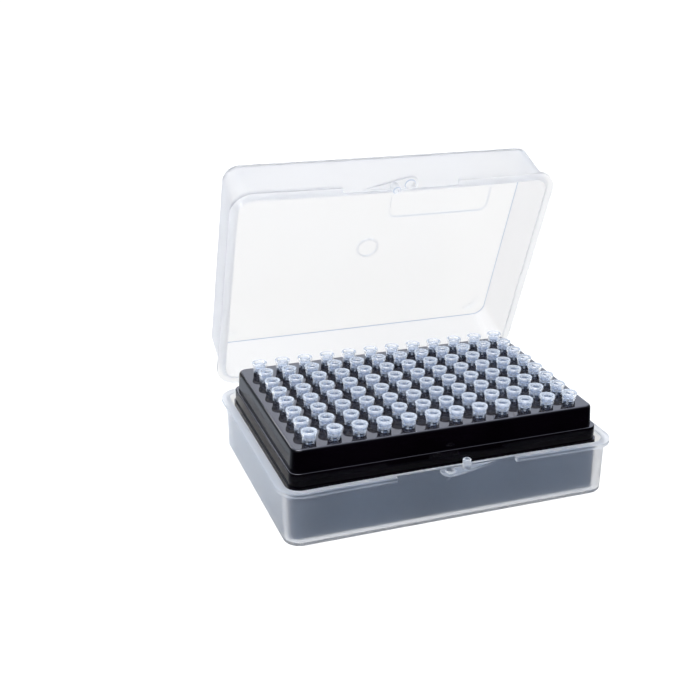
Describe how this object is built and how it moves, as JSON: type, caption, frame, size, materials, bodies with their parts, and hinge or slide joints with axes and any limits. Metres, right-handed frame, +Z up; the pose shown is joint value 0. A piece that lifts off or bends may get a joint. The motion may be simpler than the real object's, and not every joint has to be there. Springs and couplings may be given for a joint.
{
  "type": "box of pipette tips",
  "caption": "Hinged clear plastic box, its lid part open, with a black stepped rack that holds a full grid of small pipette tips standing upright.",
  "frame": {"origin": "on the flat underside of the base, below the middle of the grid of tips", "axes": "+X along the twelve columns of tips, +Y towards the hinge at the back, +Z up"},
  "size_m": [0.1262, 0.113, 0.1131],
  "materials": {
    "clear_shell": "milky see-through moulded polypropylene, glossy",
    "black_rack": "black moulded plastic, polished deck, satin sides",
    "clear_tip": "natural see-through polypropylene, glossy"
  },
  "bodies": {
    "base": {"base_tray": "clear_shell", "tip_rack": "black_rack", "tips_column_01": "clear_tip", "tips_column_02": "clear_tip", "tips_column_03": "clear_tip", "tips_column_04": "clear_tip", "tips_column_05": "clear_tip", "tips_column_06": "clear_tip", "tips_column_07": "clear_tip", "tips_column_08": "clear_tip", "tips_column_09": "clear_tip", "tips_column_10": "clear_tip", "tips_column_11": "clear_tip", "tips_column_12": "clear_tip"},
    "lid": {"lid": "clear_shell"}
  },
  "joints": [
    {"name": "lid_hinge", "type": "hinge", "parent": "base", "child": "lid", "pos_m": [0, 0.04775, 0.021], "axis": [-1, 0, 0], "range_deg": [-67.7, 104.3]}
  ]
}
